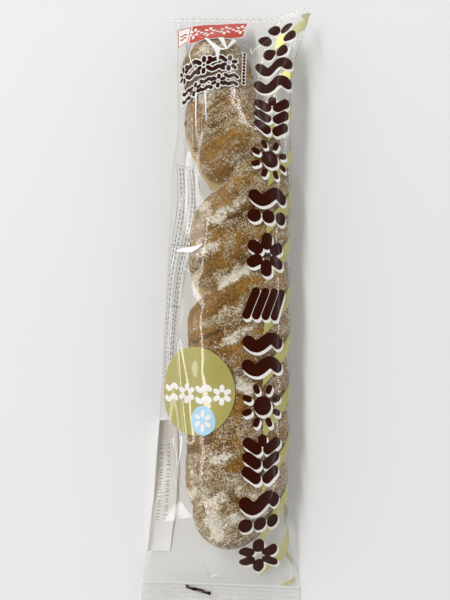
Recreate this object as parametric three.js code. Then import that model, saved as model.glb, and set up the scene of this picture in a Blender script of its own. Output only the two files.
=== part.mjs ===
// A long twisted doughnut sealed in a clear flow-wrap bag, as one closed solid: the outer form
// of the filled bag, lying on its back. Millimetres; X across, Y along the bag, Z up.
import * as THREE from 'three';

const bag = {
  length: 300, // cut edge to cut edge
  edge: 30.2, // fold line from the middle, along the body
  topFlare: 3.6, // how much wider each side is at the top seal
  bottomFlare: 6.2, // and at the bottom seal
  flareRun: 38, // length over which the ends widen
  waist: { y: 88, depth: 2.8, run: 30 }, // the narrow place beside the top of the doughnut
  wingHeight: 6, // height of the loose left fold above the surface
  filmRound: 0.9, // radius of a fold
};

const doughnut = {
  length: 247,
  shift: 3, // its middle lies this far towards the top seal
  width: 48,
  height: 35,
  topNarrow: 0.3, // share of the width lost at the top end
  offset: 4.5, // it lies to the right of the bag's middle
  lean: 17, // its top end bends this far to the left
  leanStart: 40, // from here on
  leanRun: 76,
  endPower: 3.4, // bluntness of the ends
  clearance: 0.6, // film over the crust
  restDepth: 1.1, // how far the underside is pressed flat
};

const seal = {
  depth: 10.5,
  thickness: 1.3,
  lift: 0.25, // gap under the seal
  ribPitch: 1.75,
  ribHeight: 0.22,
  toothDepth: 1.4, // zigzag cut of the two ends
  curlHeight: 11, // the top seal's right end turns up
  curlStart: 4,
  curlRun: 34,
};

const strand = { pitch: 48, slant: 0.75, dip: 0.7 }; // film dips a little between the twisted strands
const pleat = { count: 5, height: 0.9, run: 26 }; // folds that fan out from each seal
const grid = { around: 36, body: 52, hull: 240 }; // points round a section, stations, hull samples

const clamp01 = (v) => Math.min(1, Math.max(0, v));
const smooth = (v) => { const t = clamp01(v); return t * t * (3 - 2 * t); };
const mix = (a, b, t) => a + (b - a) * t;
const hump = (y, at, run) => smooth(1 - Math.abs(y - at) / run);

const halfLength = bag.length / 2;
const sealStart = halfLength - seal.depth;
const flatness = (y) => smooth((Math.abs(y) - (halfLength - bag.flareRun)) / (bag.flareRun - seal.depth));
const sealHeight = seal.lift + seal.ribHeight + seal.thickness / 2;

// The two fold lines of the bag in plan, and their height above the surface.
function foldX(side, y) {
  const flare = (y > 0 ? bag.topFlare : bag.bottomFlare) * flatness(y);
  const waist = bag.waist.depth * hump(y, bag.waist.y, bag.waist.run);
  return side * (bag.edge + flare - waist);
}

function foldZ(side, y) {
  const loose = side < 0 ? bag.wingHeight : doughnut.height * 0.36;
  return mix(loose, sealHeight, flatness(y));
}

// The doughnut inside at one station: centre line, half width and half height.
function doughnutAt(y) {
  const along = (y - doughnut.shift) / (doughnut.length / 2);
  const end = Math.pow(Math.max(0, 1 - Math.pow(Math.abs(along), doughnut.endPower)), 0.5);
  const narrow = 1 - doughnut.topNarrow * smooth(along);
  const centre = doughnut.offset - doughnut.lean * smooth((y - doughnut.leanStart) / doughnut.leanRun);
  return {
    x: centre,
    halfWidth: (doughnut.width / 2) * end * narrow + doughnut.clearance,
    halfHeight: (doughnut.height / 2) * Math.sqrt(end) * mix(1, narrow, 0.5) + doughnut.clearance,
  };
}

// Film pulled round the doughnut and the two folds: the hull of an ellipse and two small circles.
function hullAt(y) {
  const core = doughnutAt(y);
  const flat = flatness(y);
  const round = mix(bag.filmRound, seal.thickness / 2, flat);
  const shapes = [
    { x: foldX(-1, y) + round, z: foldZ(-1, y), a: round, b: round },
    { x: foldX(1, y) - round, z: foldZ(1, y), a: round, b: round },
  ];
  if (Math.abs(y - doughnut.shift) < doughnut.length / 2) {
    const sit = core.halfHeight - doughnut.restDepth;
    shapes.push({ x: core.x, z: Math.max(sit, sealHeight), a: core.halfWidth, b: core.halfHeight });
  }
  const outline = [];
  for (let i = 0; i < grid.hull; i++) {
    const angle = Math.PI - (2 * Math.PI * i) / grid.hull; // from the left fold over the top
    const nx = Math.cos(angle);
    const nz = Math.sin(angle);
    let best = null;
    for (const s of shapes) {
      const reach = Math.hypot(s.a * nx, s.b * nz);
      const support = s.x * nx + s.z * nz + reach;
      if (!best || support > best.support) {
        best = { support, x: s.x + (s.a * s.a * nx) / reach, z: s.z + (s.b * s.b * nz) / reach };
      }
    }
    outline.push([best.x, Math.max(0, best.z)]);
  }
  return outline;
}

// The same outline as evenly spaced points, so that every station has matching ones.
function evenly(outline, count) {
  const reach = [0];
  for (let i = 0; i < outline.length; i++) {
    const [x0, z0] = outline[i];
    const [x1, z1] = outline[(i + 1) % outline.length];
    reach.push(reach[i] + Math.hypot(x1 - x0, z1 - z0));
  }
  const total = reach[outline.length];
  const points = [];
  for (let k = 0, i = 0; k < count; k++) {
    const want = (total * k) / count;
    while (reach[i + 1] < want) i++;
    const t = (want - reach[i]) / (reach[i + 1] - reach[i]);
    const [x0, z0] = outline[i];
    const [x1, z1] = outline[(i + 1) % outline.length];
    points.push([mix(x0, x1, t), mix(z0, z1, t)]);
  }
  return points;
}

// Stations along the bag: two to each crimp rib in the seals, evenly spaced between them.
function stations() {
  const list = [];
  const half = seal.ribPitch / 2;
  for (let y = -halfLength; y < -sealStart - half / 2; y += half) list.push(y);
  for (let i = 0; i <= grid.body; i++) list.push(mix(-sealStart, sealStart, i / grid.body));
  for (let y = sealStart + half; y < halfLength + half / 2; y += half) list.push(y);
  return list;
}

function pleatAt(x, y) {
  const ends = hump(Math.abs(y), sealStart - pleat.run / 2, pleat.run / 2);
  const across = Math.sin((Math.PI * pleat.count * x) / bag.edge + 0.6 * Math.sign(y));
  return pleat.height * ends * (1 + across) / 2;
}

function strandAt(x, y) {
  const phase = (2 * Math.PI * (y - strand.slant * x)) / strand.pitch;
  return strand.dip * (1 - flatness(y)) * Math.cos(phase) * smooth(1 - Math.abs(x) / bag.edge);
}

function ribAt(y) {
  const inside = smooth((Math.abs(y) - sealStart) / seal.ribPitch);
  return seal.ribHeight * inside * Math.cos((2 * Math.PI * (Math.abs(y) - sealStart)) / seal.ribPitch);
}

function curlAt(x, y) {
  return seal.curlHeight * smooth((x - seal.curlStart) / seal.curlRun) * (y > 0 ? flatness(y) : 0);
}

function makeBag() {
  const rows = stations();
  const around = grid.around;
  const last = rows.length - 1;
  const positions = [];
  rows.forEach((y, row) => {
    evenly(hullAt(y), around).forEach(([x, z], k) => {
      const top = k > 0 && k < around / 2;
      const tooth = (row === 0 || row === last) && k % 2 ? Math.sign(y) * seal.toothDepth : 0;
      const relief = top ? pleatAt(x, y) + strandAt(x, y) : 0;
      const height = z + relief + curlAt(x, y) + ribAt(y);
      positions.push(x, y - tooth, height);
    });
  });
  const index = [];
  const at = (row, k) => row * around + (k % around);
  for (let row = 0; row < last; row++) {
    for (let k = 0; k < around; k++) {
      index.push(at(row, k), at(row + 1, k + 1), at(row + 1, k));
      index.push(at(row, k), at(row, k + 1), at(row + 1, k + 1));
    }
  }
  for (const row of [0, last]) {
    for (let k = 0; k < around / 2; k++) {
      const [a, b, c, d] = [at(row, k), at(row, k + 1), at(row, around - k - 1), at(row, around - k)];
      const faces = [[a, b, c], [a, c, d]].filter((f) => new Set(f).size === 3);
      faces.forEach(([p, q, r]) => index.push(...(row ? [p, q, r] : [p, r, q])));
    }
  }
  const geometry = new THREE.BufferGeometry();
  geometry.setAttribute('position', new THREE.Float32BufferAttribute(positions, 3));
  geometry.setIndex(index);
  geometry.computeBoundingBox();
  const { min, max } = geometry.boundingBox;
  geometry.translate(-(min.x + max.x) / 2, -(min.y + max.y) / 2, -min.z);
  geometry.computeVertexNormals();
  return geometry;
}

const filmMaterial = new THREE.MeshStandardMaterial({ color: 0xd9d3c4, roughness: 0.2, metalness: 0 });
const bagMesh = new THREE.Mesh(makeBag(), filmMaterial);
bagMesh.name = 'bag';

const pack = new THREE.Group();
pack.add(bagMesh);
export default pack;
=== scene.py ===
import math

import bmesh
import bpy
import numpy as np
from mathutils import Matrix, Vector, noise


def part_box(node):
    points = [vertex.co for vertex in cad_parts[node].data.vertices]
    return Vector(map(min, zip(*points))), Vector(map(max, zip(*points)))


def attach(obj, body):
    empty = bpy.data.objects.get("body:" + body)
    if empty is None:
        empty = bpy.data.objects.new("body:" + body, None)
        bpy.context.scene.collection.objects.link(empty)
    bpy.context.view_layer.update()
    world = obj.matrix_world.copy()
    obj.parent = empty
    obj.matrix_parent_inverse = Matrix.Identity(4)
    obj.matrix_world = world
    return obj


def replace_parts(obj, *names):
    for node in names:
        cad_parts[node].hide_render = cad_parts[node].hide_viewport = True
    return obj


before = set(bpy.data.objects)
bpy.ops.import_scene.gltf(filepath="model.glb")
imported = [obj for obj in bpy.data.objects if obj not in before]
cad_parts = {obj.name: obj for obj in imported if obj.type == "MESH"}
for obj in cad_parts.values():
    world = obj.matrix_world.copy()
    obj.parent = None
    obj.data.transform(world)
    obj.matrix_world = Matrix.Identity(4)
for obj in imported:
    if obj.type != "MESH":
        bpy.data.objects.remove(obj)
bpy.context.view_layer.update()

mm = 0.001  # every size below is in millimetres, in the pack's own frame
low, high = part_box("bag")
packHalf = (high.y - low.y) / 2 / mm
packHeight = high.z / mm
rng = np.random.default_rng(11)
pi = math.pi
print("frame loaded:", round(2 * packHalf), "mm pack")


def smooth(v):
    t = np.clip(v, 0, 1)
    return t * t * (3 - 2 * t)


def mix(a, b, t):
    return a + (b - a) * t


def cloudAt(points, size, octaves=3, seed=0.0):
    # soft noise from about -1 to 1, with lumps of the given size
    flat = np.asarray(points, float).reshape(-1, 3) / size + (seed, 0.7 * seed, -seed)
    values = [noise.fractal(Vector(p), 1.0, 2.0, octaves) for p in flat]
    return np.array(values).reshape(np.shape(points)[:-1])


def gridFaces(rows, columns, closed=False, flip=False):
    # faces of a grid of points; closed joins the last row to the first
    ids = np.arange(rows * columns).reshape(rows, columns)
    after = np.roll(ids, -1, 0) if closed else ids[1:]
    ids = ids if closed else ids[:-1]
    quads = np.stack([ids[:, :-1], after[:, :-1], after[:, 1:], ids[:, 1:]], -1).reshape(-1, 4)
    return quads[:, ::-1] if flip else quads


def makePiece(name, points, faces, material, weld=0.0):
    mesh = bpy.data.meshes.new(name)
    mesh.from_pydata((np.asarray(points).reshape(-1, 3) * mm).tolist(), [], [list(f) for f in faces])
    mesh.polygons.foreach_set("use_smooth", np.ones(len(mesh.polygons), bool))
    mesh.materials.append(material)
    if weld:
        work = bmesh.new()
        work.from_mesh(mesh)
        bmesh.ops.remove_doubles(work, verts=work.verts, dist=weld * mm)
        work.to_mesh(mesh)
        work.free()
    mesh.update()
    piece = bpy.data.objects.new(name, mesh)
    bpy.context.scene.collection.objects.link(piece)
    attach(piece, "root")
    return piece


def writeMask(piece, name, values):
    # a value on every point, which the piece's material reads
    mask = piece.data.attributes.new(name, "FLOAT", "POINT")
    mask.data.foreach_set("value", np.asarray(values, np.float32).ravel())


def setInputs(tree, node, inputs):
    # links each named input to a socket or to a node's first output, or gives it a plain value
    for key, value in inputs.items():
        if isinstance(value, bpy.types.Node):
            value = value.outputs[0]
        if isinstance(value, bpy.types.NodeSocket):
            tree.links.new(value, node.inputs[key])
        else:
            node.inputs[key].default_value = value


def addNode(tree, kind, inputs=None, **settings):
    node = tree.nodes.new("ShaderNode" + kind)
    for key, value in settings.items():
        setattr(node, key, value)
    setInputs(tree, node, inputs or {})
    return node


def ownPlace(tree):
    # in metres, so that a noise scale is a number of lumps to the metre
    return addNode(tree, "TexCoord").outputs["Object"]


def addNoise(tree, place, scale, detail=2.0, roughness=0.5):
    return addNode(tree, "TexNoise", {"Vector": place, "Scale": scale, "Detail": detail,
                                      "Roughness": roughness})


def addMath(tree, operation, a, b):
    return addNode(tree, "Math", {0: a, 1: b}, operation=operation)


def addRange(tree, value, start, end):
    # moves a value from the range start to the range end
    return addNode(tree, "MapRange", {"Value": value, "From Min": start[0], "From Max": start[1],
                                      "To Min": end[0], "To Max": end[1]})


def addMix(tree, share, under, over):
    # a colour laid over another
    return addNode(tree, "Mix", {0: share, 6: under, 7: over}, data_type="RGBA").outputs[2]


def addRamp(tree, value, *stops):
    # each stop: its place on the ramp and its colour; the first two are the ramp's ends
    node = addNode(tree, "ValToRGB", {0: value})
    elements = node.color_ramp.elements
    for k, (place, colour) in enumerate(stops):
        stop = elements[k] if k < 2 else elements.new(place)
        stop.position, stop.color = place, (*colour, 1)
    return node


def addMask(tree, name):
    return addNode(tree, "Attribute", attribute_name=name).outputs["Fac"]


def newGroup(name, inputs, outputs):
    group = bpy.data.node_groups.new(name, "ShaderNodeTree")
    for label, value in inputs.items():
        socket = group.interface.new_socket(label, in_out="INPUT", socket_type="NodeSocketFloat")
        socket.default_value = value
    for label, kind in outputs.items():
        group.interface.new_socket(label, in_out="OUTPUT", socket_type=kind)
    return group, group.nodes.new("NodeGroupInput"), group.nodes.new("NodeGroupOutput")


def newMaterial(name, inputs):
    material = bpy.data.materials.new(name)
    material.use_nodes = True
    shader = material.node_tree.nodes["Principled BSDF"]
    setInputs(material.node_tree, shader, inputs)
    return material, material.node_tree, shader


def makeSpeckle():
    # small grains: a mask that covers a share of the surface, and their height
    group, given, made = newGroup("speckle", {"Size": 0.6, "Cover": 0.5},
                                  {"Mask": "NodeSocketFloat", "Height": "NodeSocketFloat"})
    scale = addMath(group, "DIVIDE", 1 / mm, given.outputs["Size"])
    cells = addNode(group, "TexVoronoi", {"Vector": ownPlace(group), "Scale": scale})
    tone = addNode(group, "SeparateColor", {0: cells.outputs["Color"]})
    chosen = addMath(group, "LESS_THAN", tone, given.outputs["Cover"])
    dome = addRange(group, cells.outputs["Distance"], (0.6, 0.2), (0, 1))
    setInputs(group, made, {"Mask": chosen, "Height": addMath(group, "MULTIPLY", chosen, dome)})
    return group


def makeCrinkle():
    # the faint crackle of thin film, as a normal
    group, given, made = newGroup("crinkle", {"Strength": 0.2, "Size": 5.0},
                                  {"Normal": "NodeSocketVector"})
    stretch = addNode(group, "Mapping", {"Vector": ownPlace(group), "Scale": (1.0, 0.35, 1.0)})
    scale = addMath(group, "DIVIDE", 1 / mm, given.outputs["Size"])
    bump = addNode(group, "Bump", {"Height": addNoise(group, stretch, scale, 3.0), "Distance": 0.4 * mm,
                                   "Strength": given.outputs["Strength"]})
    setInputs(group, made, {"Normal": bump})
    return group


speckle = makeSpeckle()
crinkle = makeCrinkle()

# the doughnut: two strands twisted round each other, fried and rolled in sugar
doughnut = {
    "length": 247, "middle": 3, "width": 48, "height": 32,
    "turn": 50,  # one full turn of the twist
    "groove": 45,  # a groove meets the left side here, and every half turn from it
    "depth": 0.17,  # of a groove, as a share of the radius
    "uneven": 0.7,  # how much deeper every second groove is
    "calm": 0.6,  # how much shallower grooves are on the right side
    "dents": [(48, 7.5, 13), (-3, 2.5, 9)],  # on the left side: height along, depth, half width
    "offset": 3.6, "slope": -0.02,  # it lies to the right of the pack's middle, a little askew
    "lean": 13, "leanStart": 50, "leanRun": 66,  # its top end bends to the left
    "hook": 3.2, "hookStart": -88, "hookRun": 30,  # and so does its bottom end
    "narrow": 0.26, "narrowStart": 64, "narrowRun": 46,  # the top end is slimmer
    "capBottom": 38, "capTop": 21,  # length of the rounding at each end
    # the pale flank: half width, more of it in a groove, its height under the axis, its ragged edge
    "pale": (2.3, 2.5, 2.5, 0.5), "paleBare": 0.75,  # and the share of sugar that it lacks
    "grooveShading": (0.8, 0.86, 0.12),  # painted shade in a groove's bottom: how dark, where that starts, its run
    "paleRises": [(62, 2.5, 15), (0, 3, 7)],  # where it climbs on the left: y, how far, half width
    "sit": 0.48, "gap": 0.5,  # height of the axis: share of the whole height, and above the ground
    "follow": 0.85,  # how far the height slims together with the width
    "roundness": 0.7, "crown": 0.6,  # of the ends and of the strands
    "drift": (0.4, 31),  # the twist wanders: radians, over this length
    "fade": (0.6, 12),  # grooves are this much shallower at the bottom end, over this length
    # unevenness of the crust: height and size
    "lumps": (1.1, 24), "fibres": (0.5, 1.6), "pores": (0.16, 2.4),
    "around": 200, "along": 440,
}


def axisX(y):
    bend = doughnut["lean"] * smooth((y - doughnut["leanStart"]) / doughnut["leanRun"])
    bend = bend + doughnut["hook"] * smooth((doughnut["hookStart"] - y) / doughnut["hookRun"])
    return doughnut["offset"] + doughnut["slope"] * y - bend


def slimness(y):
    return 1 - doughnut["narrow"] * smooth((y - doughnut["narrowStart"]) / doughnut["narrowRun"])


def axisZ(y):
    return doughnut["gap"] + doughnut["sit"] * doughnut["height"] * mix(1, slimness(y), doughnut["follow"])


def reachAlong(y):
    # -1 at the bottom end, 1 at the top end
    return (y - doughnut["middle"]) / (doughnut["length"] / 2)


def endRounding(y):
    # 0 at the very ends, 1 along the body
    half = doughnut["length"] / 2
    bottom = np.clip((y - doughnut["middle"] + half) / doughnut["capBottom"], 0, 1)
    top = np.clip((doughnut["middle"] + half - y) / doughnut["capTop"], 0, 1)
    return np.sqrt((1 - (1 - bottom) ** 2) * (1 - (1 - top) ** 2))


def shapeDoughnut():
    # distances from the axis along rays: angle 0 is the right side, a quarter turn is the top
    steps = np.linspace(-1, 1, doughnut["along"] + 2)[1:-1]
    y = (doughnut["middle"] + doughnut["length"] / 2 * np.sin(pi / 2 * steps))[None, :]
    angle = (2 * pi * np.arange(doughnut["around"]) / doughnut["around"])[:, None]
    end = endRounding(y)
    a = doughnut["width"] / 2 * end * slimness(y)
    b = doughnut["height"] / 2 * end ** doughnut["roundness"] * mix(1, slimness(y), doughnut["follow"])
    alongOnly = np.stack([0 * y[0], y[0], 0 * y[0]], -1)
    wander, wanderSize = doughnut["drift"]
    drift = wander * cloudAt(alongOnly, wanderSize, 2, 4.2)[None, :]
    twist = angle - pi + 2 * pi * (y - doughnut["groove"]) / doughnut["turn"] + drift
    lobes = np.abs(np.sin(twist)) ** doughnut["crown"]
    depth = doughnut["depth"] * (1 + doughnut["uneven"] * np.cos(twist))
    depth = depth * (1 - doughnut["calm"] * smooth(np.cos(angle) + 0.2))
    fade, fadeRun = doughnut["fade"]
    depth = depth * (1 - fade * smooth((doughnut["hookStart"] - y) / fadeRun))
    radius = a * b / np.hypot(b * np.cos(angle), a * np.sin(angle)) * (1 - depth * (1 - lobes))
    for height, dent, half in doughnut["dents"]:
        off = (y - height - (pi - angle) / (2 * pi) * doughnut["turn"]) / half
        radius = radius - dent * np.exp(-off ** 2) * smooth(-1.3 * np.cos(angle))
    strands = np.stack([9 * np.cos(twist), 9 * np.sin(twist), y / 11 + 0 * angle], -1)
    base = placeCrust(radius, angle, y)
    (lump, lumpSize), (fibre, fibreSize), (pore, poreSize) = (
        doughnut[name] for name in ("lumps", "fibres", "pores"))
    radius = radius + end * (lump * cloudAt(base, lumpSize, 2, 1.0)
                             + fibre * cloudAt(strands, fibreSize, 3, 2.0))
    radius = radius + end * pore * cloudAt(base, poreSize, 3, 3.0)
    return angle, y, end, twist, strands, radius


def placeCrust(radius, angle, y):
    return np.stack([axisX(y) + radius * np.cos(angle), y + 0 * angle,
                     axisZ(y) + radius * np.sin(angle)], -1)


angle, stationY, endShape, twist, strands, crustRadius = shapeDoughnut()
crust = placeCrust(crustRadius, angle, stationY)
grooveNear = 1 - np.abs(np.sin(twist))  # 1 in a groove, 0 on a crown

sugar = {
    # each patch: x, y, half length, half width, tilt in degrees, strength
    "thick": [
        (1.5, 4, 8.5, 3.2, 38, 1.6), (-3.5, 34, 11, 2.8, 34, 0.8), (7, -47, 5, 3, -20, 0.9),
        (1.5, -25, 9, 2, 26, 0.8), (-2, -14, 12, 2, 27, 0.4), (-13.5, -95, 3.6, 2, 70, 1.0),
        (-3.5, -109, 7.5, 3.4, -68, 1.5), (-1, -79, 4, 1.8, 20, 0.8), (-17, 115, 5, 3, 20, 0.8),
        (-4, -98, 6, 3, 60, 0.7), (3, -105, 6, 3, 30, 0.6), (-11, 16, 6, 1.8, 35, 0.7),
        (-15, 92, 8, 4, 80, 0.6), (14, -100, 8, 5, 60, 0.6),
    ],
    "bare": [
        (-16, 109, 6, 2.6, 5, 1.0), (-26.5, 109, 5, 1.8, 80, 0.8), (-18.5, 78, 3.8, 2, 80, 1.0),
        (-8.3, 66, 9.5, 3.2, 38, 1.0), (-8, 53, 6.5, 2.5, 34, 0.9), (2, 34, 6.5, 2.6, 33, 0.8),
        (-15.5, 23, 6.5, 3.2, 37, 1.0), (-11, 6, 6.5, 3, 60, 0.8), (-4, -6.4, 16, 4.6, 32, 1.1),
        (-11, -24.5, 8.5, 3.4, 5, 1.0), (4, -29.5, 6.5, 1.8, 25, 0.8), (5, -55, 5.6, 3.4, 43, 0.9),
        (-13.8, -75, 5, 2.4, 26, 1.0), (6.5, -81, 6, 2.6, 20, 0.9), (-16.6, -92, 3.8, 1.8, -70, 0.9),
        (-14.8, -103, 3, 1.6, -60, 0.7), (4.4, -95, 3, 1.8, -40, 0.6), (14, 60, 8, 3, 30, 0.6),
    ],
    "general": 0.22, "inGrooves": 0.12, "patches": 0.85,  # how thick: all over, and added to that
    # unevenness: strength and size
    "streaks": (0.3, 0.9), "lumps": (0.35, 5.5), "crumbs": (0.2, 1.7),
    "ragged": 2.2, "raggedSize": 6.5,  # how far the patches' edges wander
    "endStart": -70, "endRun": 16, "end": 0.2,  # towards the bottom end it is thicker all over
    "relief": 0.45, "crumble": 0.35, "crumbleSize": 1.3,
}


def patchesAt(x, y, patches):
    total = 0
    for px, py, halfLength, halfWidth, tilt, strength in patches:
        t = math.radians(tilt)
        along = ((x - px) * math.cos(t) + (y - py) * math.sin(t)) / halfLength
        across = ((y - py) * math.cos(t) - (x - px) * math.sin(t)) / halfWidth
        total = np.maximum(total, strength * smooth(1.5 * (1.3 - np.hypot(along, across))))
    return total


def coverOf(points):
    # how thick the sugar lies, from 0 to about 1.3
    streak, streakSize = sugar["streaks"]
    lump, lumpSize = sugar["lumps"]
    crumb, crumbSize = sugar["crumbs"]
    streaks = cloudAt(strands, streakSize, 3, 7.0)
    lumps = cloudAt(points, lumpSize, 3, 8.0)
    upper = smooth((points[..., 2] - axisZ(points[..., 1])) / 6 + 0.6)
    x = points[..., 0] + sugar["ragged"] * lumps
    y = points[..., 1] + sugar["ragged"] * cloudAt(points, sugar["raggedSize"], 2, 9.0)
    crumbs = cloudAt(points, crumbSize, 2, 11.0)
    patches = patchesAt(x, y, sugar["thick"]) * (1 + 0.7 * crumbs) - patchesAt(x, y, sugar["bare"])
    general = sugar["general"] + streak * streaks + lump * lumps + crumb * crumbs
    general = general + sugar["inGrooves"] * (grooveNear - 0.4)
    general = general + sugar["end"] * smooth((sugar["endStart"] - y) / sugar["endRun"])
    return np.clip(general + upper * sugar["patches"] * patches, 0, 1.3)


cover = coverOf(crust)
crumbled = sugar["crumble"] * cover * cloudAt(crust, sugar["crumbleSize"], 2, 10.0)
crustRadius = crustRadius + endShape * (sugar["relief"] * smooth(cover) + crumbled)
underside = 0.45  # height of the flat underside, with the film below it
floorRadius = (axisZ(stationY) - underside) / np.maximum(-np.sin(angle), 1e-3)
crustRadius = np.where(np.sin(angle) < 0, np.minimum(crustRadius, floorRadius), crustRadius)
crust = placeCrust(crustRadius, angle, stationY)
print("doughnut shaped")

# the film: a tube that settles over the doughnut, pinned flat at both seals
film = {
    "flat": 76,  # width of the tube pressed flat
    "sealDepth": 10.5, "sealTop": 3.0,  # of the bottom and the top seal
    "outset": 0.9, "slant": 2.2,  # the top seal starts further out, its left end less
    "sealHeights": (1.3, 6.0),  # of the bottom and the top seal above the ground
    "slack": 1.022, "spare": 1.2,  # length of film for each length between the seals, and on top of it
    "around": 108, "along": 224,
    "room": 0.3,  # between the crust and the film, where the grains are
    # the film spans the crust's hollows: rounds of evening out, and more of them at its ends
    "spanRounds": 24, "endRounds": 120, "endStart": 0.72, "endRun": 0.15,
    "floor": 0.2, "rounds": 6,
    "stiffness": 0.07, "bend": 0.985,  # it resists where it is shorter than this share of straight
    "grip": 0.3,  # share of its speed that film keeps where it touches
    "drag": 0.9, "fastest": 0.6, "apart": 0.15,  # speed kept, greatest speed, gap between its layers
    # each stage of settling: steps, how it is blown up, its weight, how it is shaken
    "stages": [(160, 0.012, 0.002, 0.02), (140, 0.002, 0.004, 0.0), (60, 0.002, 0.004, 0.0)],
    "spread": (0.08, 0.01), "crease": 6,  # its left and right fold spring outwards, near the crease
    "spreadStart": 62, "spreadRun": 40,  # the right one does so towards the ends only
    # how far out each side lies: y, x
    "leftSide": [(-144, -37.4), (-120, -34.5), (-93, -32.8), (-50, -31.4), (60, -31.6), (81, -29.4),
                 (97, -30.6), (128, -32.7), (144, -35)],
    "rightSide": [(-144, 36.5), (-132, 34.6), (-116, 31), (-89, 29.6), (-48, 29.6), (10, 28.4),
                  (60, 27), (96, 25.6), (117, 27.4), (127, 31), (141, 34.5), (144, 36)],
    "dents": 1.3, "dentSize": 13,  # loose film starts out this uneven
    "calm": 0.06, "wingCalm": 0.5, "calmRounds": 40,  # how far it is evened out along the pack
    "wing": (-17, 7), "topEnd": (92, 14, 8),  # where wingCalm holds: x, run; y, run, greatest x
    "wingAcross": 0.4, "wingFold": (-35, 3),  # it is evened out across too, but for the fold: x, run
    "aside": 5,  # how far left of the pack's middle it starts out
    # half its width at first: at the ends, less in the middle; and how far past the pack's height
    "blown": (37, 9, 2),
    "roll": 0.25,  # radians that its middle is turned round the doughnut, against its ends
    "curl": 0.62, "curlStart": 8, "curlRun": 14,  # the top seal's right end turns up
    "curlEnd": (0.35, 26, 10),  # and less again at the last: how much less, from x, over this run
    "ripple": (0.12, 0.3),  # of the bottom seal: its slope, and how close its waves are
    # raised creases on the front: from x, y to x, y, height, half width
    "creases": [
        (-16, 121, -9.5, 114.5, 0.4, 1.5), (-9.5, 114.5, -9, 106, 0.3, 1.3),
        (-9, 122, -5.6, 116, 0.4, 1.5), (-5.6, 116, -2, 123, 0.4, 1.5),
        (-20, 96, -18.5, 66, 0.7, 1.3), (-13.5, 92, -13, 75, 0.7, 1.2),
        (-32, 19, -19, 20, 0.8, 2.0), (-30, -6, -31, -30, 0.5, 1.3),
        (-24.5, -26, -17.5, -68, 0.6, 2.4), (-27, -66, -22, -92, 0.7, 1.3),
        (-8, -122, -4, -136, 0.9, 1.3), (3, -126, 0, -137, 0.8, 1.2), (16, -124, 20, -136, 0.9, 1.3),
        (-20, -120, -24, -136, 0.7, 1.3), (21, 118, 23, 98, 0.4, 1.6),
        (-24, 131, -18, 124, 0.7, 1.2), (8, 134, 4, 124, 0.7, 1.2),
    ],
}
sealInner = packHalf - film["sealDepth"]
filmLength = (2 * sealInner + film["outset"]) * film["slack"] + film["spare"]
filmStart = -sealInner * film["slack"]  # y of its bottom end, on the flat tube
halfFlat = film["flat"] / 2


def sealLine(across, top):
    # x, y and height of a seal's inner edge, for places across the flat tube
    fine = np.linspace(-halfFlat, halfFlat, 400)
    curl = film["curl"] * smooth((fine - film["curlStart"]) / film["curlRun"])
    (less, start, run), (steepness, closeness) = film["curlEnd"], film["ripple"]
    if top:
        slope = curl * (1 - less * smooth((fine - start) / run))
    else:
        slope = steepness * np.sin(fine * closeness)
    step = fine[1] - fine[0]
    x, z = np.cumsum(np.cos(slope)) * step, np.cumsum(np.sin(slope)) * step
    x = x - (x[0] + x[-1]) / 2
    y = 0 * across - sealInner
    if top:
        y = sealInner + film["outset"] - film["slant"] * (0.5 - across / film["flat"])
    height = np.interp(across, fine, z - z.min()) + film["sealHeights"][top]
    return np.interp(across, fine, x), y, height


def foldedFlat(around):
    # each line of points across the flat tube, from the left fold over the top and back under
    u = 2 * film["flat"] * np.arange(around) / around
    across = np.where(u <= film["flat"], u - halfFlat, 3 * halfFlat - u)
    return across, np.where((u > 0) & (u < film["flat"]), 1, -1)


def blownTube(around, along):
    # a first guess: a round tube that flattens into the seals
    across, side = foldedFlat(around)
    y = np.linspace(-sealInner, sealInner, along)[None, :]
    puff = np.sqrt(1 - (np.abs(y) / sealInner) ** 4)
    turn = (pi - 2 * pi * np.arange(around) / around)[:, None]
    turn = turn + film["roll"] * (1 - (y / sealInner) ** 2)
    half, less, over = film["blown"]
    roundX = -film["aside"] * puff + (half - less * puff) * np.cos(turn)
    roundZ = packHeight / 2 + (packHeight / 2 + over) * puff * np.sin(turn)
    x = mix(across[:, None] * 0.98, roundX, puff)
    z = mix(1.5 + 0.3 * side[:, None], roundZ, puff)
    p = np.stack([x, y + 0 * x, z], -1)
    p[..., 2] += film["dents"] * puff * cloudAt(p * (1, 0.4, 1), film["dentSize"], 2, 5.0)
    return p


def pull(a, b, rest, strength, onlyShort=False):
    # moves each pair of points towards its rest distance
    gap = b - a
    size = np.sqrt(np.einsum("...k,...k->...", gap, gap)) + 1e-9
    share = (size - rest) / size
    if onlyShort:
        share = np.minimum(share, 0)
    gap *= (0.5 * strength * share)[..., None]
    a += gap
    b -= gap


def matched(grid, i, j, di, dj, stepI=2, stepJ=2):
    # two matching sets of points of a grid, (di, dj) apart
    a, b = grid[i:, j:][::stepI, ::stepJ], grid[i + di:, j + dj:][::stepI, ::stepJ]
    rows, columns = min(len(a), len(b)), min(a.shape[1], b.shape[1])
    return a[:rows, :columns], b[:rows, :columns]


def unit(v):
    return v / (np.linalg.norm(v, axis=-1, keepdims=True) + 1e-9)


def outwardOf(p):
    # directions out of a ring grid
    return unit(np.cross(np.roll(p, -1, 0) - np.roll(p, 1, 0), np.gradient(p, axis=1)))


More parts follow.
